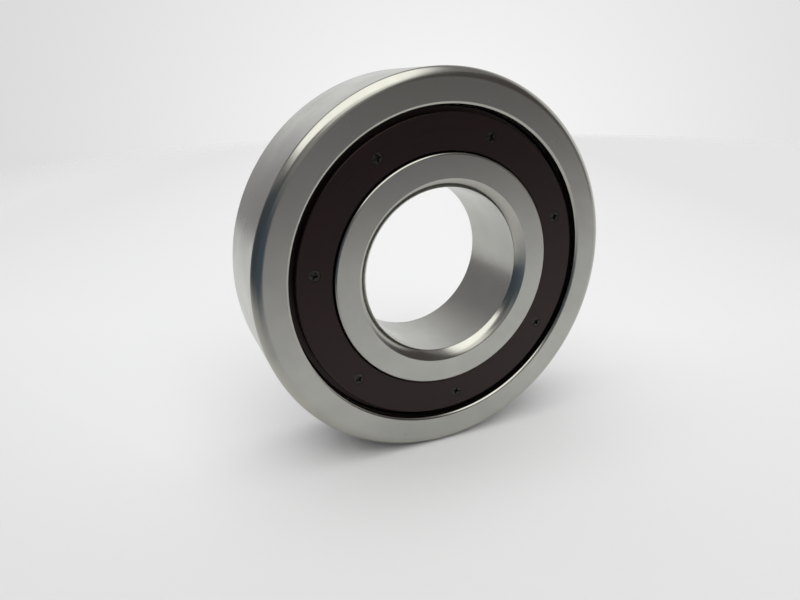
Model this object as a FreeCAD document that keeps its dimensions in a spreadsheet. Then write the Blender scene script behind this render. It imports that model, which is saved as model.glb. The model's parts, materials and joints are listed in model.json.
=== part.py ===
"""Deep groove ball bearing, 35 x 80 x 21 mm, with a riveted two-piece cage.

The bearing's axis is Y and Z is up, as on a wheel that stands on its rim. The origin is the middle
of the bore, halfway between the faces. The front of the bearing, where the set ends of the rivets
show, faces -Y. Angles round the axis start at +X and turn towards +Z.

All sizes are in millimetres and come from the sheet "dims".
"""

import FreeCAD, Part

import math
import os

import Sketcher

SIZES = [
    # name, value, meaning
    ("bore_diameter", 35.0, "seat for the shaft"),
    ("outside_diameter", 80.0, "seat in the housing"),
    ("ring_width", 21.0, "both rings, face to face"),
    ("ball_diameter", 14.288, "9/16 inch ball"),
    ("ball_count", 7, "one rivet stands between each two balls"),
    ("race_conformity", 0.52, "radius of each groove's section over the ball's diameter"),
    ("race_clearance", 0.06, "free gap between a ball and the bottom of each groove"),
    ("shoulder_height", 2.83, "land above the bottom of the groove, on both rings"),
    ("bore_corner_radial", 1.90, "bore corner, along the face"),
    ("bore_corner_axial", 1.75, "bore corner, along the bore"),
    ("bore_corner_arc", 5.0, "crown of the bore corner"),
    ("outside_corner_radial", 2.05, "outside corner, along the face"),
    ("outside_corner_axial", 1.55, "outside corner, along the outside"),
    ("outside_corner_arc", 2.4, "crown of the outside corner"),
    ("inner_land_round", 0.45, "rounded edge of the inner ring's land"),
    ("outer_land_round", 0.70, "rounded edge of the outer ring's land"),
    ("cage_guide_clearance", 0.25, "cage bore over the inner ring's lands"),
    ("cage_outer_gap", 1.28, "cage outside to the outer ring's lands, near the faces"),
    ("cage_collar_gap", 0.25, "the same in the cage's middle, where it is thicker"),
    ("cage_collar_depth", 2.2, "cage face to the start of the thicker middle"),
    ("cage_recess", 0.60, "cage face below the ring faces"),
    ("cage_chamfer", 0.15, "edges of the cage faces"),
    ("cage_angle", -6.1, "angle of the first ball, in degrees"),
    ("pocket_clearance", 0.20, "ball pocket over the ball, all round"),
    ("rivet_circle_shift", 0.45, "rivet circle inside the circle of the ball centres"),
    ("rivet_shank_diameter", 1.8, "shank"),
    ("rivet_fit", 0.05, "hole over the rivet, all round"),
    ("rivet_tail_diameter", 2.3, "front end, spread when the rivet is set"),
    ("rivet_tail_height", 0.80, "front end"),
    ("rivet_tail_recess", 0.06, "front end below the cage face"),
    ("rivet_head_diameter", 3.4, "rear end, ready formed"),
    ("rivet_head_height", 0.90, "rear end"),
    ("rivet_head_recess", 0.15, "rear end below the cage face"),
    ("rivet_edge", 0.15, "rounded edge of both ends"),
    ("star_points", 4, "lobes of the setting punch"),
    ("star_tip_radius", 1.0, "centre to the tip of a lobe"),
    ("star_root_radius", 0.40, "centre to the root between lobes"),
    ("star_depth", 0.55, "how deep the punch goes in"),
]

FULL_TURN = 360.0
HALF_TURN = 180.0
# less than this is no difference, in mm or mm3
NEAR = 1e-4
# how a sketch's constraints name its own origin, and the points of a line, an arc or a circle
SKETCH_ORIGIN = (-1, 1)
START, END, CENTRE = 1, 2, 3


class Size:
    """A length or angle as both the sheet's expression, which binds it, and its value now."""

    def __init__(self, text, value):
        self.text = text
        self.value = value

    def __add__(self, other):
        other = size(other)
        return Size(f"({self.text} + {other.text})", self.value + other.value)

    def __sub__(self, other):
        other = size(other)
        return Size(f"({self.text} - {other.text})", self.value - other.value)

    def __mul__(self, other):
        other = size(other)
        return Size(f"({self.text} * {other.text})", self.value * other.value)

    def __truediv__(self, other):
        other = size(other)
        return Size(f"({self.text} / {other.text})", self.value / other.value)

    def __neg__(self):
        return Size(f"(0 - {self.text})", -self.value)


def size(thing):
    """A plain number becomes a Size that is always the same."""
    if isinstance(thing, Size):
        return thing
    return Size(str(thing), float(thing))


def cosine(angle):
    """Cosine of an angle in degrees."""
    return Size(f"cos({angle.text} * 1 deg)", math.cos(math.radians(angle.value)))


def sine(angle):
    """Sine of an angle in degrees."""
    return Size(f"sin({angle.text} * 1 deg)", math.sin(math.radians(angle.value)))


def make_sheet(doc):
    """The sheet of driving dimensions, one to a row, with its meaning beside it."""
    sheet = doc.addObject("Spreadsheet::Sheet", "dims")
    for row, (name, value, meaning) in enumerate(SIZES, start=1):
        sheet.set(f"A{row}", name)
        sheet.set(f"B{row}", str(value))
        sheet.setAlias(f"B{row}", name)
        sheet.set(f"C{row}", meaning)
    doc.recompute()
    return sheet


class Dims:
    """The sheet's dimensions as Size objects, with the places that follow from them."""

    def __init__(self, sheet):
        for name, _, _ in SIZES:
            setattr(self, name, Size(f"dims.{name}", float(sheet.get(name))))
        self.face = self.ring_width / 2
        self.bore = self.bore_diameter / 2
        self.outside = self.outside_diameter / 2
        self.ball = self.ball_diameter / 2
        self.step = size(FULL_TURN) / self.ball_count
        # the balls run on a circle midway between the bore and the outside
        self.pitch = (self.bore + self.outside) / 2
        self.inner_groove = self.pitch - self.ball - self.race_clearance
        self.outer_groove = self.pitch + self.ball + self.race_clearance
        self.inner_land = self.inner_groove + self.shoulder_height
        self.outer_land = self.outer_groove - self.shoulder_height
        self.cage_inside = self.inner_land + self.cage_guide_clearance
        self.cage_outside = self.outer_land - self.cage_outer_gap
        self.cage_collar = self.outer_land - self.cage_collar_gap
        self.cage_face = self.face - self.cage_recess
        self.cage_step = self.cage_face - self.cage_collar_depth
        self.race_radius = self.ball_diameter * self.race_conformity
        self.pocket = self.ball + self.pocket_clearance
        self.rivet_circle = self.pitch - self.rivet_circle_shift
        self.tail_seat = self.rivet_tail_recess + self.rivet_tail_height
        self.head_seat = self.rivet_head_recess + self.rivet_head_height


def new_body(doc, label):
    """A PartDesign body whose label names its STEP file."""
    body = doc.addObject("PartDesign::Body", f"body_{label}")
    body.Label = label
    return body


def origin_feature(body, role):
    """One of the body's own origin planes or axes, such as XY_Plane."""
    return next(part for part in body.Origin.OriginFeatures if part.Role == role)


def new_sketch(body, name, plane):
    """A sketch on one of the body's origin planes."""
    sketch = body.newObject("Sketcher::SketchObject", name)
    sketch.AttachmentSupport = [(origin_feature(body, plane), "")]
    sketch.MapMode = "FlatFace"
    return sketch


def bind(sketch, constraint, expression):
    """Adds a constraint and ties it to the sheet."""
    index = sketch.addConstraint(constraint)
    sketch.setExpression(f"Constraints[{index}]", expression)


def bind_point(sketch, geometry, end, place):
    """Ties one end or centre of a sketch element to a place, measured from the sketch's origin."""
    for direction, distance in zip(("DistanceX", "DistanceY"), place):
        constraint = Sketcher.Constraint(direction, *SKETCH_ORIGIN, geometry, end, distance.value)
        bind(sketch, constraint, distance.text)


def vector(place):
    across, up = place
    return FreeCAD.Vector(across.value, up.value, 0)


def bulging_arc(start, end, radius):
    """The shorter arc of that radius that bulges to the right of the line from start to end."""
    chord = end - start
    middle = (start + end) * 0.5
    right = FreeCAD.Vector(chord.y, -chord.x, 0).normalize()
    reach = math.sqrt(radius**2 - (chord.Length / 2) ** 2)
    crown = middle + right * (radius - reach)
    return Part.Arc(start, crown, end)


def closed_outline(sketch, places, arcs):
    """A closed outline through places, counterclockwise. arcs gives the radius of each stretch that
    is an arc and not a line, by the number of the place that it starts from."""
    points = [vector(place) for place in places]
    starts, ends = [], []
    for number, start in enumerate(points):
        end = points[(number + 1) % len(points)]
        if number in arcs:
            radius = arcs[number]
            element = sketch.addGeometry(bulging_arc(start, end, radius.value))
            bind(sketch, Sketcher.Constraint("Radius", element, radius.value), radius.text)
        else:
            element = sketch.addGeometry(Part.LineSegment(start, end))
        starts.append((element, START))
        ends.append((element, END))
    for number, start in enumerate(starts):
        sketch.addConstraint(Sketcher.Constraint("Coincident", *ends[number - 1], *start))
        bind_point(sketch, *start, places[number])


def add_circle(sketch, centre, radius):
    """A circle tied to the sheet."""
    shape = Part.Circle(vector(centre), FreeCAD.Vector(0, 0, 1), radius.value)
    element = sketch.addGeometry(shape)
    bind(sketch, Sketcher.Constraint("Radius", element, radius.value), radius.text)
    bind_point(sketch, element, CENTRE, centre)


def turned(body, sketch, name):
    """Solid of revolution about the bearing's axis."""
    solid = body.newObject("PartDesign::Revolution", name)
    solid.Profile = sketch
    solid.ReferenceAxis = (origin_feature(body, "Y_Axis"), [""])
    solid.Angle = FULL_TURN
    return solid


def must_cut(doc, body, feature):
    """Stops the build if a cutting feature took nothing away from the body."""
    doc.recompute()
    if not feature.Shape.Volume < feature.BaseFeature.Shape.Volume - NEAR:
        raise RuntimeError(f"{body.Label}: {feature.Label} cuts nothing")


def edges_at(shape, radius, height):
    """Names of the full round edges of that radius about the Y axis, at that height along it."""
    names = []
    for number, edge in enumerate(shape.Edges, start=1):
        curve = edge.Curve
        if not isinstance(curve, Part.Circle):
            continue
        on_axis = math.hypot(curve.Center.x, curve.Center.z) < NEAR
        if on_axis and abs(curve.Radius - radius) < NEAR and abs(curve.Center.y - height) < NEAR:
            names.append(f"Edge{number}")
    return names


def edged(doc, body, base, kind, name, radius, heights, amount):
    """Treats the round edges of one radius. kind is Chamfer, with its legs' length as the amount,
    or Fillet, with its radius."""
    edges = [edge for height in heights for edge in edges_at(base.Shape, radius, height)]
    if len(edges) != len(heights):
        raise RuntimeError(f"{body.Label}: {name} found {len(edges)} edges")
    cut = body.newObject(f"PartDesign::{kind}", name)
    cut.Base = (base, edges)
    cut.setExpression("Size" if kind == "Chamfer" else "Radius", amount.text)
    doc.recompute()
    return cut


def cut_race(doc, body, centre, radius):
    """The groove that the balls run in."""
    sketch = new_sketch(body, "race_section", "XY_Plane")
    add_circle(sketch, (centre, size(0)), radius)
    race = body.newObject("PartDesign::Groove", "race")
    race.Profile = sketch
    race.ReferenceAxis = (origin_feature(body, "Y_Axis"), [""])
    race.Angle = FULL_TURN
    must_cut(doc, body, race)
    return race


def make_outer_ring(doc, d):
    """Outer ring: crowned corners on the outside, a deep groove inside."""
    body = new_body(doc, "outer_ring")
    section = new_sketch(body, "section", "XY_Plane")
    corner_foot = d.outside - d.outside_corner_radial
    corner_top = d.face - d.outside_corner_axial
    places = [
        (d.outer_land, -d.face),
        (corner_foot, -d.face),
        (d.outside, -corner_top),
        (d.outside, corner_top),
        (corner_foot, d.face),
        (d.outer_land, d.face),
    ]
    closed_outline(section, places, {1: d.outside_corner_arc, 3: d.outside_corner_arc})
    turned(body, section, "blank")
    race = cut_race(doc, body, d.outer_groove - d.race_radius, d.race_radius)
    heights = (-d.face.value, d.face.value)
    edged(doc, body, race, "Fillet", "land_round", d.outer_land.value, heights, d.outer_land_round)
    return body


def make_inner_ring(doc, d):
    """Inner ring: crowned corners in the bore, a deep groove outside."""
    body = new_body(doc, "inner_ring")
    section = new_sketch(body, "section", "XY_Plane")
    corner_foot = d.bore + d.bore_corner_radial
    corner_top = d.face - d.bore_corner_axial
    places = [
        (corner_foot, -d.face),
        (d.inner_land, -d.face),
        (d.inner_land, d.face),
        (corner_foot, d.face),
        (d.bore, corner_top),
        (d.bore, -corner_top),
    ]
    closed_outline(section, places, {3: d.bore_corner_arc, 5: d.bore_corner_arc})
    turned(body, section, "blank")
    race = cut_race(doc, body, d.inner_groove + d.race_radius, d.race_radius)
    heights = (-d.face.value, d.face.value)
    edged(doc, body, race, "Fillet", "land_round", d.inner_land.value, heights, d.inner_land_round)
    return body


def make_cage_half(doc, d, label, side, end_radius, seat_depth):
    """Half of the cage, from the middle plane to the face on one side: -1 is the front and 1 the
    rear. Each half has half of every ball pocket, and a stepped hole for each rivet's end."""
    body = new_body(doc, label)
    section = new_sketch(body, "section", "XY_Plane")
    places = [
        (d.cage_inside, size(0)),
        (d.cage_collar, size(0)),
        (d.cage_collar, d.cage_step),
        (d.cage_outside, d.cage_step),
        (d.cage_outside, d.cage_face),
        (d.cage_inside, d.cage_face),
    ]
    if side < 0:
        places = [(across, -up) for across, up in reversed(places)]
    closed_outline(section, places, {})
    blank = turned(body, section, "blank")
    doc.recompute()

    face = side * d.cage_face.value
    base = blank
    for name, radius in (("outer_edge", d.cage_outside), ("inner_edge", d.cage_inside)):
        base = edged(doc, body, base, "Chamfer", name, radius.value, (face,), d.cage_chamfer)

    pocket_circle = new_sketch(body, "pocket_circle", "YZ_Plane")
    add_circle(pocket_circle, (size(0), size(0)), d.pocket)
    pocket = body.newObject("PartDesign::Pocket", "ball_pocket")
    pocket.Profile = pocket_circle
    pocket.Type = "ThroughAll"
    pocket.Reversed = True
    must_cut(doc, body, pocket)

    # the sketch lies on the half's face and looks out of it, because a hole runs in behind its
    # sketch; turned over for the rear face, its centre falls midway between two pockets all the same
    hole_circle = new_sketch(body, "rivet_hole_circle", "XZ_Plane")
    lift = -d.cage_face if side > 0 else d.cage_face
    turn_over = HALF_TURN if side > 0 else 0
    hole_circle.AttachmentOffset = FreeCAD.Placement(
        FreeCAD.Vector(0, 0, lift.value), FreeCAD.Rotation(FreeCAD.Vector(1, 0, 0), turn_over)
    )
    hole_circle.setExpression("AttachmentOffset.Base.z", lift.text)
    half_step = d.step / 2
    centre = (d.rivet_circle * cosine(half_step), d.rivet_circle * sine(half_step))
    shank_hole = d.rivet_shank_diameter / 2 + d.rivet_fit
    add_circle(hole_circle, centre, shank_hole)
    doc.recompute()
    hole = body.newObject("PartDesign::Hole", "rivet_hole")
    hole.Profile = hole_circle
    doc.recompute()
    hole.DepthType = "ThroughAll"
    hole.HoleCutType = "Counterbore"
    hole.HoleCutCustomValues = True
    hole.setExpression("Diameter", (shank_hole * 2).text)
    hole.setExpression("HoleCutDiameter", ((end_radius + d.rivet_fit) * 2).text)
    hole.setExpression("HoleCutDepth", seat_depth.text)
    must_cut(doc, body, hole)

    pattern = body.newObject("PartDesign::PolarPattern", "all_round")
    pattern.Originals = [pocket, hole]
    pattern.Axis = (origin_feature(body, "Y_Axis"), [""])
    pattern.Angle = FULL_TURN
    pattern.setExpression("Occurrences", d.ball_count.text)
    body.Tip = pattern
    must_cut(doc, body, pattern)

    body.Placement = FreeCAD.Placement(
        FreeCAD.Vector(0, 0, 0), FreeCAD.Rotation(FreeCAD.Vector(0, -1, 0), d.cage_angle.value)
    )
    body.setExpression("Placement.Rotation.Angle", d.cage_angle.text)
    return body


def place_on_circle(thing, radius, angle):
    """Puts a piece on a circle round the bearing's axis."""
    thing.setExpression("Placement.Base.x", (radius * cosine(angle)).text)
    thing.setExpression("Placement.Base.z", (radius * sine(angle)).text)


def make_ball(doc, d, number):
    """One ball. Number 1 lies at the cage's angle."""
    ball = doc.addObject("Part::Sphere", f"sphere_{number}")
    ball.Label = f"ball_{number}"
    ball.setExpression("Radius", d.ball.text)
    place_on_circle(ball, d.pitch, d.cage_angle + d.step * (number - 1))
    return ball


def make_rivet(doc, d, number):
    """One rivet. It stands in the web after the ball of the same number. Its rear end is a ready
    formed head, and its front end is spread by a punch that leaves a star."""
    body = new_body(doc, f"rivet_{number}")
    section = new_sketch(body, "section", "XY_Plane")
    shank = d.rivet_shank_diameter / 2
    tail = d.rivet_tail_diameter / 2
    head = d.rivet_head_diameter / 2
    tail_end = -(d.cage_face - d.rivet_tail_recess)
    tail_foot = -(d.cage_face - d.tail_seat)
    head_end = d.cage_face - d.rivet_head_recess
    head_foot = d.cage_face - d.head_seat
    places = [
        (size(0), tail_end),
        (tail - d.rivet_edge, tail_end),
        (tail, tail_end + d.rivet_edge),
        (tail, tail_foot),
        (shank, tail_foot),
        (shank, head_foot),
        (head, head_foot),
        (head, head_end - d.rivet_edge),
        (head - d.rivet_edge, head_end),
        (size(0), head_end),
    ]
    closed_outline(section, places, {1: d.rivet_edge, 7: d.rivet_edge})
    turned(body, section, "blank")

    star = new_sketch(body, "star_outline", "XZ_Plane")
    star.AttachmentOffset = FreeCAD.Placement(
        FreeCAD.Vector(0, 0, -tail_end.value), FreeCAD.Rotation()
    )
    star.setExpression("AttachmentOffset.Base.z", (-tail_end).text)
    corners = 2 * round(d.star_points.value)
    lobe_step = size(FULL_TURN) / (d.star_points * 2)
    places = []
    for corner in range(corners):
        reach = d.star_root_radius if corner % 2 else d.star_tip_radius
        angle = lobe_step * corner
        places.append((reach * cosine(angle), reach * sine(angle)))
    closed_outline(star, places, {})
    punched = body.newObject("PartDesign::Pocket", "star")
    punched.Profile = star
    punched.Type = "Length"
    punched.setExpression("Length", d.star_depth.text)
    must_cut(doc, body, punched)

    place_on_circle(body, d.rivet_circle, d.cage_angle + d.step * (number - 1) + d.step / 2)
    return body


def check(doc, pieces):
    """Stops the build if an object failed or a piece isn't a valid closed solid."""
    for thing in doc.Objects:
        if "Invalid" in thing.State or "Error" in thing.State:
            raise RuntimeError(f"{thing.Label} failed: {thing.State}")
    for piece in pieces:
        shape = piece.Shape
        if shape.isNull() or not shape.isValid() or len(shape.Solids) != 1:
            raise RuntimeError(f"{piece.Label} isn't one valid solid")


def main():
    doc = FreeCAD.newDocument("ball_bearing")
    sheet = make_sheet(doc)
    d = Dims(sheet)
    tail = d.rivet_tail_diameter / 2
    head = d.rivet_head_diameter / 2
    pieces = [
        make_outer_ring(doc, d),
        make_inner_ring(doc, d),
        make_cage_half(doc, d, "cage_front_half", -1, tail, d.tail_seat),
        make_cage_half(doc, d, "cage_rear_half", 1, head, d.head_seat),
    ]
    for number in range(1, round(d.ball_count.value) + 1):
        pieces.append(make_ball(doc, d, number))
        pieces.append(make_rivet(doc, d, number))
    doc.recompute()
    check(doc, pieces)
    os.makedirs("parts", exist_ok=True)
    for piece in pieces:
        piece.Shape.exportStep(os.path.join("parts", piece.Label + ".step"))
        print(f"{piece.Label}: {piece.Shape.Volume:.2f} mm3")


main()
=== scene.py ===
"""Looks of an open deep groove ball bearing with a riveted cage of laminated resin.

The bearing's axis is Y and Z is up. The front, where the punched rivet ends show, faces -Y. Lengths
below are in millimetres and become metres where a mesh is made.
"""

import json
import math

import bmesh
import bpy
from mathutils import Matrix, Vector


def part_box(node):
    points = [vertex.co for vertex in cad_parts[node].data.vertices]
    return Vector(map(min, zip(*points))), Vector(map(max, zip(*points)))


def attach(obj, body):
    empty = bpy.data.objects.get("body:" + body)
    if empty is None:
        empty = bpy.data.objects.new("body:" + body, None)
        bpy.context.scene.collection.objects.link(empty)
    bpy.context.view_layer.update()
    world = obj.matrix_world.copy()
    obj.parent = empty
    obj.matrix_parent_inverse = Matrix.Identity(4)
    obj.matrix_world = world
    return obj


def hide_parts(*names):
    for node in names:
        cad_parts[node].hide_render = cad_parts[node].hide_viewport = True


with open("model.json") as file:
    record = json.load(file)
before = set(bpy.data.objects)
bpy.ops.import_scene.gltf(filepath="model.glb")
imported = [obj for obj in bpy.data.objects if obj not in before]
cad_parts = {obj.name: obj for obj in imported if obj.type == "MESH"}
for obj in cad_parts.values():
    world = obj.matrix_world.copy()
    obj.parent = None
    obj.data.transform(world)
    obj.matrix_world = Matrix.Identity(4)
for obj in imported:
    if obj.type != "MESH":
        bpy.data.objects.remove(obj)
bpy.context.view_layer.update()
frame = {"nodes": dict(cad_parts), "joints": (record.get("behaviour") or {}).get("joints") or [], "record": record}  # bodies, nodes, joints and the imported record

MM = 0.001
FULL_TURN = 2 * math.pi
AXIS = Vector((0, 1, 0))

# ---------------------------------------------------------------------------------------------
# sizes, read from the frame where it holds them
# ---------------------------------------------------------------------------------------------

MOUNTS = {mount["name"]: mount for mount in frame["record"]["mounts"]}
HINGES = {joint["child"]: joint for joint in frame["joints"]}


def reach(node):
    """Furthest distance of a round node from the bearing's axis."""
    _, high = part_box(node)
    return high.z / MM


def span(node):
    """Lowest and highest place of a node along the axis."""
    low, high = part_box(node)
    return low.y / MM, high.y / MM


BORE = MOUNTS["bore"]["dims"]["r_mm"]
OUTSIDE = MOUNTS["housing_seat"]["dims"]["r_mm"]
FACE = span("outer_ring")[1]
BORE_SEAT = MOUNTS["bore"]["dims"]["length_mm"] / 2
OUTSIDE_SEAT = MOUNTS["housing_seat"]["dims"]["length_mm"] / 2

BALLS = sorted(name for name in frame["nodes"] if name.startswith("ball_"))
RIVETS = sorted(name for name in frame["nodes"] if name.startswith("rivet_"))
BALL_PLACES = {name: Vector(HINGES[name]["pos_m"]) / MM for name in BALLS}
PITCH = BALL_PLACES[BALLS[0]].length
BALL = (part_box(BALLS[0])[1].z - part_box(BALLS[0])[0].z) / 2 / MM

RACE_GAP = 0.06
RACE_CONFORMITY = 0.52
RACE_RADIUS = RACE_CONFORMITY * 2 * BALL
SHOULDER = 2.83
INNER_LAND = PITCH - BALL - RACE_GAP + SHOULDER
OUTER_LAND = PITCH + BALL + RACE_GAP - SHOULDER

BORE_CORNER = 1.90
BORE_CORNER_ARC = 5.0
OUTSIDE_CORNER = 2.05
OUTSIDE_CORNER_ARC = 2.4
INNER_LAND_ROUND = 0.45
OUTER_LAND_ROUND = 0.70
EDGE_BREAK = 0.07

CAGE_OUTER_GAP = 1.28
CAGE_COLLAR_DEPTH = 2.2
CAGE_GUIDE_GAP = 0.25
CAGE_CHAMFER = 0.15
POCKET_GAP = 0.20
CAGE_FACE = span("cage_rear_half")[1]
CAGE_OUTSIDE = OUTER_LAND - CAGE_OUTER_GAP
CAGE_COLLAR = reach("cage_front_half")
CAGE_STEP = CAGE_FACE - CAGE_COLLAR_DEPTH
CAGE_INSIDE = INNER_LAND + CAGE_GUIDE_GAP
POCKET = BALL + POCKET_GAP

RIVET_FIT = 0.05
TAIL_FIT = 0.01
RIVET_SHANK = 0.90
TAIL = 1.18
TAIL_HEIGHT = 0.80
HEAD = 1.70
HEAD_HEIGHT = 0.90
RIVET_EDGE = 0.15
TAIL_EDGE = 0.06
STAR_TIP = 1.0
STAR_ROOT = 0.40
STAR_POINTS = 4
STAR_TAPER = 0.75
STAR_DEPTH = 0.55
STAR_PAST = 0.5

# how unlike the punch marks are: each lobe's share of its length, and each punch's turn in radians
LOBE_CHANGE = 0.16
LOBE_MOST = 1.06
LOBE_STEP = 2.1
PUNCH_STEP = 3.7
PUNCH_TURN = 2.4
FIRST_TURN = 0.3

# how far a cutting tool runs past what it cuts, and how near counts as touching
TOOL_PAST = 0.5
POCKET_TOOL_PAST = 4
NEAR = 0.01

# how finely round things are cut
ROUND_STEPS = 360
ARC_STEPS = 14
EDGE_STEPS = 8
RACE_STEPS = 28
SMALL_ROUND_STEPS = 48
BALL_STEPS = 6

# edges sharper than these are broken on the rings, and kept crisp on the cage and rivets
SHARP_RING_EDGE = math.radians(12)
SHARP_EDGE = math.radians(25)
# a ring's seat lies more than this from its groove
SEAT_WALL = 1


# ---------------------------------------------------------------------------------------------
# material tools
# ---------------------------------------------------------------------------------------------

def colour(code):
    """Linear colour of an sRGB hex code such as a0a09c."""
    parts = [int(code[i : i + 2], 16) / 255 for i in (0, 2, 4)]
    return [p / 12.92 if p <= 0.04045 else ((p + 0.055) / 1.055) ** 2.4 for p in parts] + [1.0]


def pick(sockets, name):
    """The first socket of that name that is in use."""
    return next(socket for socket in sockets if socket.name == name and socket.enabled)


def add(tree, kind, settings, inputs):
    """Adds a node with its settings. An input is a value, or a node's output to link."""
    node = tree.nodes.new(kind)
    for name, value in settings.items():
        setattr(node, name, value)
    for name, value in inputs.items():
        socket = node.inputs[name] if isinstance(name, int) else pick(node.inputs, name)
        if isinstance(value, bpy.types.NodeSocket):
            tree.links.new(value, socket)
        else:
            socket.default_value = value
    return node


def new_material(name):
    """A material with its Principled shader and node tree."""
    material = bpy.data.materials.new(name)
    material.use_nodes = True
    tree = material.node_tree
    shader = next(node for node in tree.nodes if node.type == "BSDF_PRINCIPLED")
    return material, tree, shader


def ring_places(tree):
    """Outputs for a pattern on a turned piece: distance from the axis and place along it, both in
    millimetres, the direction round the axis as a vector, and the plain place in millimetres."""
    place = add(tree, "ShaderNodeTexCoord", {}, {}).outputs["Object"]
    in_mm = add(tree, "ShaderNodeVectorMath", {"operation": "SCALE"}, {0: place, "Scale": 1 / MM})
    in_mm = in_mm.outputs["Vector"]
    flat = add(tree, "ShaderNodeVectorMath", {"operation": "MULTIPLY"}, {0: in_mm, 1: (1, 0, 1)})
    flat = flat.outputs["Vector"]
    radius = add(tree, "ShaderNodeVectorMath", {"operation": "LENGTH"}, {0: flat}).outputs["Value"]
    along = add(tree, "ShaderNodeSeparateXYZ", {}, {0: in_mm}).outputs["Y"]
    way_round = add(tree, "ShaderNodeVectorMath", {"operation": "NORMALIZE"}, {0: flat})
    return radius, along, way_round.outputs["Vector"], in_mm


def turning_lines(tree, spacing, streak):
    """Noise drawn out round the axis, as a tool or a wheel leaves it. spacing is the width of a
    line in millimetres, and streak how often a line changes in one turn."""
    radius, along, way_round, _ = ring_places(tree)
    across = add(tree, "ShaderNodeMath", {"operation": "DIVIDE"}, {0: radius, 1: spacing})
    along = add(tree, "ShaderNodeMath", {"operation": "DIVIDE"}, {0: along, 1: spacing})
    inputs = {0: way_round, "Scale": streak}
    turned = add(tree, "ShaderNodeVectorMath", {"operation": "SCALE"}, inputs)
    lift = add(tree, "ShaderNodeCombineXYZ", {}, {"Y": across.outputs[0]})
    inputs = {0: turned.outputs[0], 1: lift.outputs[0]}
    place = add(tree, "ShaderNodeVectorMath", {"operation": "ADD"}, inputs)
    inputs = {"Vector": place.outputs[0], "W": along.outputs[0]}
    inputs.update({"Scale": 1.0, "Detail": 3.0, "Roughness": 0.6})
    return add(tree, "ShaderNodeTexNoise", {"noise_dimensions": "4D"}, inputs).outputs["Fac"]


def round_tangent(tree):
    """The direction along the turning lines, for a shader's anisotropy."""
    place = add(tree, "ShaderNodeTexCoord", {}, {}).outputs["Object"]
    inputs = {0: tuple(AXIS), 1: place}
    along = add(tree, "ShaderNodeVectorMath", {"operation": "CROSS_PRODUCT"}, inputs)
    unit = add(tree, "ShaderNodeVectorMath", {"operation": "NORMALIZE"}, {0: along.outputs[0]})
    settings = {"vector_type": "VECTOR", "convert_from": "OBJECT", "convert_to": "WORLD"}
    return add(tree, "ShaderNodeVectorTransform", settings, {0: unit.outputs[0]}).outputs[0]


def blotches(tree, size, detail):
    """Soft uneven patches of about that size in millimetres."""
    _, _, _, in_mm = ring_places(tree)
    inputs = {"Vector": in_mm, "Scale": 1 / size, "Detail": detail, "Roughness": 0.55}
    return add(tree, "ShaderNodeTexNoise", {}, inputs).outputs["Fac"]


def spread(tree, value, low, high, start=0.3, end=0.7):
    """Maps a value onto a range. Left to itself it starts and ends where most noise does."""
    inputs = {"Value": value, "From Min": start, "From Max": end, "To Min": low, "To Max": high}
    return add(tree, "ShaderNodeMapRange", {"clamp": True}, inputs).outputs["Result"]


def mixed(tree, factor, first, second):
    """A colour between two."""
    inputs = {"Factor": factor, "A": first, "B": second}
    return add(tree, "ShaderNodeMix", {"data_type": "RGBA"}, inputs).outputs["Result"]


def steel(name, light, dark, roughness, spacing, streak, depth, anisotropy):
    """Hardened bearing steel. The finish is in how fine and how deep its lines are, and in how far
    they draw a highlight out across them. Handling leaves soft patches of a slightly duller
    tone."""
    material, tree, shader = new_material(name)
    lines = turning_lines(tree, spacing, streak)
    patches = blotches(tree, 7.0, 3.0)
    tint = mixed(tree, spread(tree, patches, 0.0, 1.0), colour(light), colour(dark))
    fine = spread(tree, lines, -0.012, 0.012)
    coarse = spread(tree, patches, roughness - 0.02, roughness + 0.03)
    rough = add(tree, "ShaderNodeMath", {"operation": "ADD"}, {0: fine, 1: coarse})
    inputs = {"Strength": 1.0, "Distance": depth * MM, "Height": lines}
    bump = add(tree, "ShaderNodeBump", {}, inputs)
    tree.links.new(tint, shader.inputs["Base Color"])
    tree.links.new(rough.outputs[0], shader.inputs["Roughness"])
    tree.links.new(bump.outputs["Normal"], shader.inputs["Normal"])
    tree.links.new(round_tangent(tree), shader.inputs["Tangent"])
    shader.inputs["Metallic"].default_value = 1.0
    shader.inputs["Anisotropic"].default_value = anisotropy
    return material


def ground_steel():
    """Faces and seats, ground to size: an even satin with hardly any line to be seen. The real grit
    lines are a few hundredths of a millimetre apart, and are drawn wider so that they show."""
    return steel("ground_bearing_steel", "b5b5af", "adada8", 0.24, 0.12, 4.0, 0.0002, 0.3)


def turned_steel():
    """Rounded corners, turned and then polished with a belt: fine bright rings that stretch each
    highlight across the corner and cut it off short along it."""
    return steel("turned_corner_steel", "b3b2aa", "a9a8a1", 0.17, 0.10, 3.0, 0.0009, 0.6)


def honed_steel():
    """Grooves for the balls, honed nearly to a mirror."""
    return steel("honed_race_steel", "b6b5b1", "adaca8", 0.12, 0.08, 5.0, 0.0003, 0.3)


def lapped_steel():
    """Balls, lapped to a mirror."""
    material, tree, shader = new_material("lapped_ball_steel")
    patches = spread(tree, blotches(tree, 3.0, 2.0), 0.0, 1.0)
    tint = mixed(tree, patches, colour("c2c2c2"), colour("bbbbbc"))
    tree.links.new(tint, shader.inputs["Base Color"])
    shader.inputs["Metallic"].default_value = 1.0
    shader.inputs["Roughness"].default_value = 0.06
    return material


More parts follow.
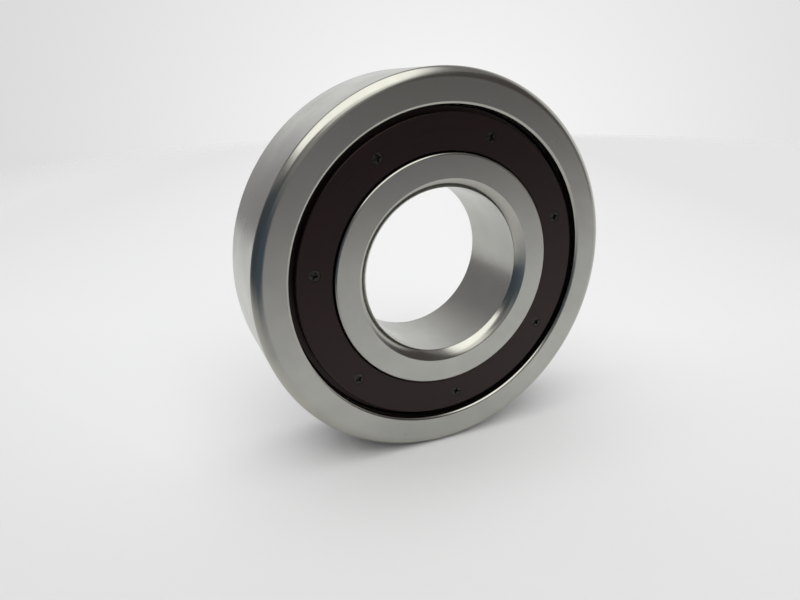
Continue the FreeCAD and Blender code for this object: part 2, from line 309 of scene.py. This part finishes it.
def phenolic_laminate():
    """Cage of cotton cloth wound in phenolic resin and then turned: very dark reddish brown, with
    the edges of the cloth's layers as faint rings 0.35 mm apart and a dull oiled sheen."""
    material, tree, shader = new_material("cotton_phenolic_laminate")
    layers = turning_lines(tree, 0.35, 2.0)
    fibres = turning_lines(tree, 0.10, 40.0)
    patches = blotches(tree, 6.0, 4.0)
    brown = mixed(tree, spread(tree, layers, 0.0, 1.0), colour("110808"), colour("180d0c"))
    red = mixed(tree, spread(tree, patches, 0.0, 0.6), brown, colour("1c0d0a"))
    tree.links.new(red, shader.inputs["Base Color"])
    tree.links.new(spread(tree, layers, 0.30, 0.40), shader.inputs["Roughness"])
    both = add(tree, "ShaderNodeMath", {"operation": "ADD"}, {0: layers, 1: fibres})
    inputs = {"Strength": 1.0, "Distance": 0.006 * MM, "Height": both.outputs[0]}
    bump = add(tree, "ShaderNodeBump", {}, inputs)
    tree.links.new(bump.outputs["Normal"], shader.inputs["Normal"])
    shader.inputs["Specular IOR Level"].default_value = 0.36
    shader.inputs["Specular Tint"].default_value = (1.0, 0.80, 0.80, 1.0)
    return material


def blackened_steel():
    """Rivets, soft steel with a black oxide that the setting punch has rubbed."""
    material, tree, shader = new_material("black_oxide_steel")
    patches = blotches(tree, 0.4, 3.0)
    tint = mixed(tree, spread(tree, patches, 0.0, 1.0), colour("2a2928"), colour("4b4a47"))
    tree.links.new(tint, shader.inputs["Base Color"])
    tree.links.new(spread(tree, patches, 0.28, 0.45), shader.inputs["Roughness"])
    inputs = {"Strength": 1.0, "Distance": 0.01 * MM, "Height": patches}
    bump = add(tree, "ShaderNodeBump", {}, inputs)
    tree.links.new(bump.outputs["Normal"], shader.inputs["Normal"])
    shader.inputs["Metallic"].default_value = 1.0
    return material


def punch_painted_shade():
    """Painted shade that darkens the bottom of each punch mark, with lighter, smoother patches
    where the metal is bare and catches a glint.
    """
    material, tree, shader = new_material("punch_mark_painted_shade")
    patches = blotches(tree, 0.3, 2.0)
    bare = spread(tree, patches, 0.0, 1.0, start=0.45, end=0.65)
    tint = mixed(tree, bare, colour("080706"), colour("1d1c1a"))
    tree.links.new(tint, shader.inputs["Base Color"])
    tree.links.new(spread(tree, patches, 0.55, 0.30), shader.inputs["Roughness"])
    return material


# ---------------------------------------------------------------------------------------------
# mesh tools
# ---------------------------------------------------------------------------------------------

def draw_to(bm, pen, place):
    """Draws a line from the pen's vertex and returns the new end. A place is radius and height."""
    end = bm.verts.new((*place, 0))
    bm.edges.new((pen, end))
    return end


def draw_arc(bm, pen, place, radius, steps):
    """Draws an arc that bulges to the right of the way from the pen to the place. A negative radius
    bulges to the left."""
    start, end = pen.co.copy(), Vector((*place, 0))
    chord = end - start
    left = Vector((-chord.y, chord.x, 0)).normalized()
    half_angle = math.asin(chord.length / 2 / radius)
    centre = (start + end) / 2 + left * radius * math.cos(half_angle)
    made = bmesh.ops.spin(
        bm,
        geom=[pen],
        cent=centre,
        axis=(0, 0, 1),
        dvec=(0, 0, 0),
        angle=2 * half_angle,
        steps=steps,
    )
    return next(part for part in made["geom_last"] if isinstance(part, bmesh.types.BMVert))


def turn(bm, steps):
    """Spins the outline round the bearing's axis into a closed piece."""
    bmesh.ops.spin(
        bm,
        geom=list(bm.verts) + list(bm.edges),
        cent=(0, 0, 0),
        axis=tuple(AXIS),
        dvec=(0, 0, 0),
        angle=FULL_TURN,
        steps=steps,
        use_merge=True,
    )
    bmesh.ops.remove_doubles(bm, verts=list(bm.verts), dist=1e-5)
    bmesh.ops.recalc_face_normals(bm, faces=list(bm.faces))


def break_edges(bm, width):
    """Rounds every sharp edge of a ring, as a maker breaks them."""
    closed = [edge for edge in bm.edges if edge.is_manifold]
    sharp = [edge for edge in closed if edge.calc_face_angle() > SHARP_RING_EDGE]
    bmesh.ops.bevel(
        bm,
        geom=sharp,
        offset=width,
        offset_type="OFFSET",
        affect="EDGES",
        segments=3,
        profile=0.5,
        material=-1,
        clamp_overlap=True,
    )


def finish_piece(bm, name, materials):
    """Makes the object, in metres, with its faces shaded smooth."""
    for face in bm.faces:
        face.smooth = True
    bm.transform(Matrix.Scale(MM, 4))
    mesh = bpy.data.meshes.new(name)
    bm.to_mesh(mesh)
    bm.free()
    for material in materials:
        mesh.materials.append(material)
    piece = bpy.data.objects.new(name, mesh)
    bpy.context.scene.collection.objects.link(piece)
    return piece


def apply_modifiers(piece):
    """Puts the result of a piece's modifiers in its mesh."""
    graph = bpy.context.evaluated_depsgraph_get()
    made = bpy.data.meshes.new_from_object(piece.evaluated_get(graph))
    piece.modifiers.clear()
    piece.data = made
    return piece


def weigh_normals(piece):
    """Lets large faces set the shading at their edges, so that flat ones look flat."""
    weigh = piece.modifiers.new("weigh", "WEIGHTED_NORMAL")
    weigh.mode = "FACE_AREA"
    weigh.keep_sharp = True
    return apply_modifiers(piece)


def keep_crisp(piece):
    """Shades round faces smoothly, and keeps the edges between faces sharp."""
    piece.data.set_sharp_from_angle(angle=SHARP_EDGE)
    return piece


def cut_away(piece, cutter):
    """Takes the cutter's volume out of a piece."""
    cut = piece.modifiers.new("cut", "BOOLEAN")
    cut.operation = "DIFFERENCE"
    cut.solver = "EXACT"
    cut.object = cutter
    apply_modifiers(piece)
    bpy.data.objects.remove(cutter)
    return piece


def zone(bm, number, inside):
    """Gives a material's number to the faces whose middle, as radius and height, is inside."""
    for face in bm.faces:
        middle = face.calc_center_median()
        if inside(math.hypot(middle.x, middle.z), abs(middle.y)):
            face.material_index = number


# ---------------------------------------------------------------------------------------------
# pieces
# ---------------------------------------------------------------------------------------------

STEELS = (ground_steel(), turned_steel(), honed_steel())
# places in that list; what no zone claims stays ground
TURNED, HONED = 1, 2


def race_width(shoulder):
    """Half the width of a groove where it meets its land."""
    return math.sqrt(RACE_RADIUS**2 - (RACE_RADIUS - shoulder) ** 2)


def outer_ring():
    """Crowned corners outside, and the groove for the balls inside."""
    bm = bmesh.new()
    foot = OUTSIDE - OUTSIDE_CORNER
    chamfer_foot = OUTER_LAND + OUTER_LAND_ROUND
    chamfer_top = FACE - OUTER_LAND_ROUND
    race = race_width(SHOULDER)
    first = pen = bm.verts.new((OUTER_LAND, -chamfer_top, 0))
    pen = draw_arc(bm, pen, (chamfer_foot, -FACE), OUTER_LAND_ROUND, EDGE_STEPS)
    pen = draw_to(bm, pen, (foot, -FACE))
    pen = draw_arc(bm, pen, (OUTSIDE, -OUTSIDE_SEAT), OUTSIDE_CORNER_ARC, ARC_STEPS)
    pen = draw_to(bm, pen, (OUTSIDE, OUTSIDE_SEAT))
    pen = draw_arc(bm, pen, (foot, FACE), OUTSIDE_CORNER_ARC, ARC_STEPS)
    pen = draw_to(bm, pen, (chamfer_foot, FACE))
    pen = draw_arc(bm, pen, (OUTER_LAND, chamfer_top), OUTER_LAND_ROUND, EDGE_STEPS)
    pen = draw_to(bm, pen, (OUTER_LAND, race))
    pen = draw_arc(bm, pen, (OUTER_LAND, -race), -RACE_RADIUS, RACE_STEPS)
    bm.edges.new((pen, first))
    turn(bm, ROUND_STEPS)
    break_edges(bm, EDGE_BREAK)
    zone(bm, TURNED, lambda r, y: r > foot and y > OUTSIDE_SEAT)
    zone(bm, TURNED, lambda r, y: r < chamfer_foot and y > chamfer_top)
    groove = OUTER_LAND + EDGE_BREAK
    zone(bm, HONED, lambda r, y: r > groove and r < OUTSIDE - SEAT_WALL and y < race)
    return weigh_normals(finish_piece(bm, "outer_ring_steel", STEELS))


def inner_ring():
    """Crowned corners in the bore, and the groove for the balls outside."""
    bm = bmesh.new()
    foot = BORE + BORE_CORNER
    chamfer_foot = INNER_LAND - INNER_LAND_ROUND
    chamfer_top = FACE - INNER_LAND_ROUND
    race = race_width(SHOULDER)
    first = pen = bm.verts.new((foot, -FACE, 0))
    pen = draw_to(bm, pen, (chamfer_foot, -FACE))
    pen = draw_arc(bm, pen, (INNER_LAND, -chamfer_top), INNER_LAND_ROUND, EDGE_STEPS)
    pen = draw_to(bm, pen, (INNER_LAND, -race))
    pen = draw_arc(bm, pen, (INNER_LAND, race), -RACE_RADIUS, RACE_STEPS)
    pen = draw_to(bm, pen, (INNER_LAND, chamfer_top))
    pen = draw_arc(bm, pen, (chamfer_foot, FACE), INNER_LAND_ROUND, EDGE_STEPS)
    pen = draw_to(bm, pen, (foot, FACE))
    pen = draw_arc(bm, pen, (BORE, BORE_SEAT), BORE_CORNER_ARC, ARC_STEPS)
    pen = draw_to(bm, pen, (BORE, -BORE_SEAT))
    pen = draw_arc(bm, pen, (foot, -FACE), BORE_CORNER_ARC, ARC_STEPS)
    bmesh.ops.pointmerge(bm, verts=[pen, first], merge_co=first.co)
    turn(bm, ROUND_STEPS)
    break_edges(bm, EDGE_BREAK)
    zone(bm, TURNED, lambda r, y: r < foot and y > BORE_SEAT)
    zone(bm, TURNED, lambda r, y: r > chamfer_foot and y > chamfer_top)
    groove = INNER_LAND - EDGE_BREAK
    zone(bm, HONED, lambda r, y: r < groove and r > BORE + SEAT_WALL and y < race)
    return weigh_normals(finish_piece(bm, "inner_ring_steel", STEELS))


def hole_tool(side, end_radius, seat):
    """Stepped tool for a rivet's hole, on the axis, from the middle plane out through a face."""
    bm = bmesh.new()
    shank = RIVET_SHANK + RIVET_FIT
    end = end_radius + (TAIL_FIT if side < 0 else RIVET_FIT)
    step = side * (CAGE_FACE - seat)
    pen = bm.verts.new((0, -side * TOOL_PAST, 0))
    for place in (
        (shank, -side * TOOL_PAST),
        (shank, step),
        (end, step),
        (end, side * (CAGE_FACE + TOOL_PAST)),
        (0, side * (CAGE_FACE + TOOL_PAST)),
    ):
        pen = draw_to(bm, pen, place)
    turn(bm, SMALL_ROUND_STEPS)
    return bm


def cage_half(name, side, end_radius, seat):
    """Half of the cage, from the middle plane to one face, with half of each ball's pocket."""
    bm = bmesh.new()
    middle, chamfer, face = 0.0, side * (CAGE_FACE - CAGE_CHAMFER), side * CAGE_FACE
    first = pen = bm.verts.new((CAGE_INSIDE, middle, 0))
    for place in (
        (CAGE_COLLAR, middle),
        (CAGE_COLLAR, side * CAGE_STEP),
        (CAGE_OUTSIDE, side * CAGE_STEP),
        (CAGE_OUTSIDE, chamfer),
        (CAGE_OUTSIDE - CAGE_CHAMFER, face),
        (CAGE_INSIDE + CAGE_CHAMFER, face),
        (CAGE_INSIDE, chamfer),
    ):
        pen = draw_to(bm, pen, place)
    bm.edges.new((pen, first))
    turn(bm, ROUND_STEPS)
    half = finish_piece(bm, name, (LAMINATE,))

    tools = bmesh.new()
    length = CAGE_OUTSIDE - CAGE_INSIDE + POCKET_TOOL_PAST
    for ball in BALLS:
        place = BALL_PLACES[ball]
        out = place.normalized()
        turn_out = Vector((0, 0, 1)).rotation_difference(out).to_matrix().to_4x4()
        bmesh.ops.create_cone(
            tools,
            cap_ends=True,
            segments=SMALL_ROUND_STEPS * 2,
            radius1=POCKET,
            radius2=POCKET,
            depth=length,
            matrix=Matrix.Translation(place) @ turn_out,
        )
    cutter = finish_piece(tools, "pocket_tool", ())
    cut_away(half, cutter)
    for rivet in RIVETS:
        tool = hole_tool(side, end_radius, seat)
        tool.transform(Matrix.Translation(rivet_place(rivet)))
        cut_away(half, finish_piece(tool, "hole_tool", ()))
    return keep_crisp(half)


def rivet_place(rivet):
    """Middle of a rivet, on the middle plane."""
    low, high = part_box(rivet)
    middle = (low + high) / 2 / MM
    return Vector((middle.x, 0, middle.z))


LAMINATE = phenolic_laminate()
BLACKENED = blackened_steel()
# painted shade for the bottom of each punch mark
PUNCH_SHADE = punch_painted_shade()
LAPPED = lapped_steel()


def ball(node):
    """A lapped ball."""
    bm = bmesh.new()
    bmesh.ops.create_icosphere(bm, subdivisions=BALL_STEPS, radius=BALL)
    bm.transform(Matrix.Translation(BALL_PLACES[node]))
    return finish_piece(bm, f"{node}_steel", (LAPPED,))


def star_tool(low, number):
    """Punch with a point for each lobe. No two rivets are struck quite alike, so the lobes differ
    in length and the punch is turned from one to the next."""
    bm = bmesh.new()
    corners = 2 * STAR_POINTS
    rings = []
    for height, shrink in ((STAR_DEPTH, STAR_TAPER), (0.0, 1.0), (-STAR_PAST, 1.0)):
        ring = []
        for corner in range(corners):
            angle = FULL_TURN * corner / corners + PUNCH_TURN * number + FIRST_TURN
            wave = math.sin(LOBE_STEP * corner + PUNCH_STEP * number)
            uneven = min(1 + LOBE_CHANGE * wave, LOBE_MOST)
            away = shrink * (STAR_ROOT if corner % 2 else STAR_TIP * uneven)
            place = (away * math.cos(angle), low + height, away * math.sin(angle))
            ring.append(bm.verts.new(place))
        rings.append(ring)
    bm.faces.new(rings[0])
    bm.faces.new(rings[-1])
    for near, far in zip(rings, rings[1:]):
        for corner in range(corners):
            bm.faces.new((near[corner], near[corner - 1], far[corner - 1], far[corner]))
    bmesh.ops.recalc_face_normals(bm, faces=list(bm.faces))
    return bm


def rivet(node, number):
    """Formed head at the rear, and a front end spread by a star-shaped punch."""
    low, high = span(node)
    bm = bmesh.new()
    pen = bm.verts.new((0, low, 0))
    for place in (
        (TAIL - TAIL_EDGE, low),
        (TAIL, low + TAIL_EDGE),
        (TAIL, low + TAIL_HEIGHT),
        (RIVET_SHANK, low + TAIL_HEIGHT),
        (RIVET_SHANK, high - HEAD_HEIGHT),
        (HEAD, high - HEAD_HEIGHT),
        (HEAD, high - RIVET_EDGE),
        (HEAD - RIVET_EDGE, high),
        (0, high),
    ):
        pen = draw_to(bm, pen, place)
    turn(bm, SMALL_ROUND_STEPS)
    piece = finish_piece(bm, f"{node}_steel", (BLACKENED, PUNCH_SHADE))
    cut_away(piece, finish_piece(star_tool(low, number), "star_tool", ()))
    # the faces sunk in the punch mark get the painted shade, the rest keep the black oxide
    for face in piece.data.polygons:
        place = face.center / MM
        sunk = low + NEAR < place.y < low + STAR_DEPTH + NEAR
        inside = math.hypot(place.x, place.z) < TAIL - TAIL_EDGE
        face.material_index = 1 if sunk and inside else 0
    piece.data.transform(Matrix.Translation(rivet_place(node) * MM))
    return keep_crisp(piece)


def place_piece(piece, body, node):
    """Makes a piece move with its body and stand for its CAD node."""
    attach(piece, body)
    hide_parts(node)


def build_bearing():
    """Every piece, on the body that carries it. The rivets hold the two halves as one cage."""
    place_piece(outer_ring(), "outer_ring", "outer_ring")
    place_piece(inner_ring(), "inner_ring", "inner_ring")
    tail_seat = CAGE_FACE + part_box(RIVETS[0])[0].y / MM + TAIL_HEIGHT
    head_seat = CAGE_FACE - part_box(RIVETS[0])[1].y / MM + HEAD_HEIGHT
    front = cage_half("cage_front_laminate", -1, TAIL, tail_seat)
    rear = cage_half("cage_rear_laminate", 1, HEAD, head_seat)
    place_piece(front, "cage", "cage_front_half")
    place_piece(rear, "cage", "cage_rear_half")
    for node in BALLS:
        place_piece(ball(node), node, node)
    for number, node in enumerate(RIVETS):
        place_piece(rivet(node, number), "cage", node)


# ---------------------------------------------------------------------------------------------
# camera, floor and light
# ---------------------------------------------------------------------------------------------

def set_camera():
    """In front of the bearing, to its left and a little above, looking down at it."""
    camera = bpy.data.objects.new("camera", bpy.data.cameras.new("camera"))
    bpy.context.scene.collection.objects.link(camera)
    camera.location = Vector((-57.33, -111.35, 35.60)) * MM
    down, right = 19.67, 24.72
    camera.rotation_euler = (math.radians(90 - down), 0, math.radians(-right))
    camera.data.sensor_width = 36.0
    camera.data.lens = 26.4
    camera.data.clip_start = 0.005
    bpy.context.scene.camera = camera


def heading(degrees):
    """Level direction, from straight in front of the bearing round to its right."""
    turned = math.radians(degrees)
    return Vector((math.sin(turned), -math.cos(turned), 0))


def add_panel(tree, below, forward, up, sides, ends, soft, light):
    """Lays a panel of light over what is below, on a plane at distance 1 in the forward direction.
    sides and ends say where it starts and stops across and up that plane, and soft how wide its
    edge is."""
    place = add(tree, "ShaderNodeTexCoord", {}, {}).outputs["Generated"]
    across = up.cross(forward)
    dot = {"operation": "DOT_PRODUCT"}
    ahead, along, above = (
        add(tree, "ShaderNodeVectorMath", dot, {0: place, 1: tuple(way)}).outputs["Value"]
        for way in (forward, across, up)
    )
    ahead = add(tree, "ShaderNodeMath", {"operation": "MAXIMUM"}, {0: ahead, 1: 0.001}).outputs[0]
    share = 1.0
    for part, (start, stop) in ((along, sides), (above, ends)):
        where = add(tree, "ShaderNodeMath", {"operation": "DIVIDE"}, {0: part, 1: ahead}).outputs[0]
        for edge, low, high in ((start, 0.0, 1.0), (stop, 1.0, 0.0)):
            inputs = {"Value": where, "From Min": edge - soft, "From Max": edge + soft}
            inputs.update({"To Min": low, "To Max": high})
            settings = {"interpolation_type": "SMOOTHSTEP"}
            fade = add(tree, "ShaderNodeMapRange", settings, inputs).outputs["Result"]
            inputs = {0: share, 1: fade}
            share = add(tree, "ShaderNodeMath", {"operation": "MULTIPLY"}, inputs).outputs[0]
    return mixed(tree, share, below, (*light, 1.0))


# what the plain backdrop and the floor send back at their brightest
BACKDROP = (0.914, 0.914, 0.914)
PAPER = (0.928, 0.930, 0.942)


def set_world():
    """A room with a white sweep behind the bearing, a broad light above it, and a dark side where
    the camera stands. The steel and the floor see the room. Behind them the camera sees a plain
    backdrop with a painted pool of light, brightest low down and to the rear."""
    world = bpy.data.worlds.new("room")
    bpy.context.scene.world = world
    world.use_nodes = True
    tree = world.node_tree
    tree.nodes.clear()
    up = Vector((0, 0, 1))
    rear = Vector((0, 1, 0))
    far = 50
    panels = (
        # in front, above level, then two patches to the right of it and one below level
        (heading(0), up, (-0.28, 0.40), (0.10, 0.60), 0.15, (0.40, 0.40, 0.39)),
        (heading(50), up, (-0.60, 0.75), (0.15, 1.1), 0.15, (0.10, 0.09, 0.09)),
        (heading(31), up, (-0.28, 0.22), (-0.075, 0.22), 0.07, (0.175, 0.165, 0.165)),
        (heading(50), up, (-0.18, 1.0), (-1.0, -0.12), 0.05, (0.45, 0.45, 0.44)),
        # the dark side, a little blue
        (heading(-70), up, (-1.0, 0.78), (-0.30, 0.62), 0.12, (0.07, 0.085, 0.105)),
        (heading(-28), up, (-0.6, 0.35), (-far, 0.14), 0.12, (0.075, 0.11, 0.155)),
        # the sweep, behind and to the right, and a light high up behind
        (heading(138), up, (-1.88, 1.20), (-far, 0.80), 0.40, (0.90, 0.90, 0.90)),
        (heading(190), up, (-0.70, 0.70), (0.85, 1.9), 0.30, (0.75, 0.75, 0.75)),
        # overhead, a light towards the front, and a broader and brighter one straight above
        (up, rear, (-0.35, 0.50), (-1.95, -0.85), 0.12, (1.36, 1.36, 1.32)),
        (up, rear, (-1.02, 0.40), (-1.02, 0.42), 0.12, (2.04, 2.04, 2.00)),
    )
    light = (0.285, 0.275, 0.285, 1.0)
    for panel in panels:
        light = add_panel(tree, light, *panel)
    # painted light: the backdrop the camera sees is darkened away from one direction, low and to
    # the rear
    place = add(tree, "ShaderNodeTexCoord", {}, {}).outputs["Generated"]
    painted_light_centre = heading(151) - 0.15 * up
    inputs = {0: place, 1: tuple(painted_light_centre)}
    away = add(tree, "ShaderNodeVectorMath", {"operation": "DISTANCE"}, inputs)
    share = spread(tree, away.outputs["Value"], 1.0, 0.78, start=0.15, end=0.65)
    inputs = {0: BACKDROP, "Scale": share}
    backdrop_painted_light = add(tree, "ShaderNodeVectorMath", {"operation": "SCALE"}, inputs)
    shown = add(tree, "ShaderNodeBackground", {}, {"Color": backdrop_painted_light.outputs[0]})
    lit = add(tree, "ShaderNodeBackground", {}, {"Color": light})
    path = add(tree, "ShaderNodeLightPath", {}, {})
    inputs = {0: path.outputs["Is Camera Ray"], 1: lit.outputs[0], 2: shown.outputs[0]}
    mix = add(tree, "ShaderNodeMixShader", {}, inputs)
    add(tree, "ShaderNodeOutputWorld", {}, {"Surface": mix.outputs[0]})


def set_floor():
    """A sheet of white paper. It lies mostly behind the bearing and to its right, and fades out in
    front, so that the dark side of the room shows low in the steel. Its colour holds a painted pool
    of light, brightest along its middle and a little darker at its sides and in front."""
    from_axis, fade_start, fade_end, edge = 450, 490, 615, 1500
    middle = heading(130) * from_axis - Vector((0, 0, OUTSIDE))
    bm = bmesh.new()
    bmesh.ops.create_circle(bm, cap_ends=True, segments=96, radius=edge)
    bm.transform(Matrix.Translation(middle))
    material, tree, shader = new_material("white_paper")
    floor = finish_piece(bm, "floor", (material,))
    shader.inputs["Roughness"].default_value = 0.8
    shader.inputs["Specular IOR Level"].default_value = 0.2
    _, _, _, in_mm = ring_places(tree)
    dot = {"operation": "DOT_PRODUCT"}
    aside, back = (
        add(tree, "ShaderNodeVectorMath", dot, {0: in_mm, 1: tuple(way)}).outputs["Value"]
        for way in (heading(65), heading(155))
    )
    aside = add(tree, "ShaderNodeMath", {"operation": "ABSOLUTE"}, {0: aside}).outputs[0]
    # painted light: the paper's colour is scaled down towards its sides and in front, as a pool of
    # light
    sides = spread(tree, aside, 1.0, 0.87, start=20, end=230)
    front = spread(tree, back, 0.90, 1.0, start=-60, end=60)
    share = add(tree, "ShaderNodeMath", {"operation": "MULTIPLY"}, {0: sides, 1: front}).outputs[0]
    paper_with_painted_light = add(tree, "ShaderNodeVectorMath", {"operation": "SCALE"}, {0: PAPER, "Scale": share})
    tree.links.new(paper_with_painted_light.outputs[0], shader.inputs["Base Color"])
    inputs = {0: in_mm, 1: tuple(middle)}
    away = add(tree, "ShaderNodeVectorMath", {"operation": "DISTANCE"}, inputs)
    clear = spread(tree, away.outputs["Value"], 1.0, 0.0, start=fade_start, end=fade_end)
    tree.links.new(clear, shader.inputs["Alpha"])


set_camera()
build_bearing()
set_floor()
set_world()
bpy.context.scene.view_settings.view_transform = "Standard"
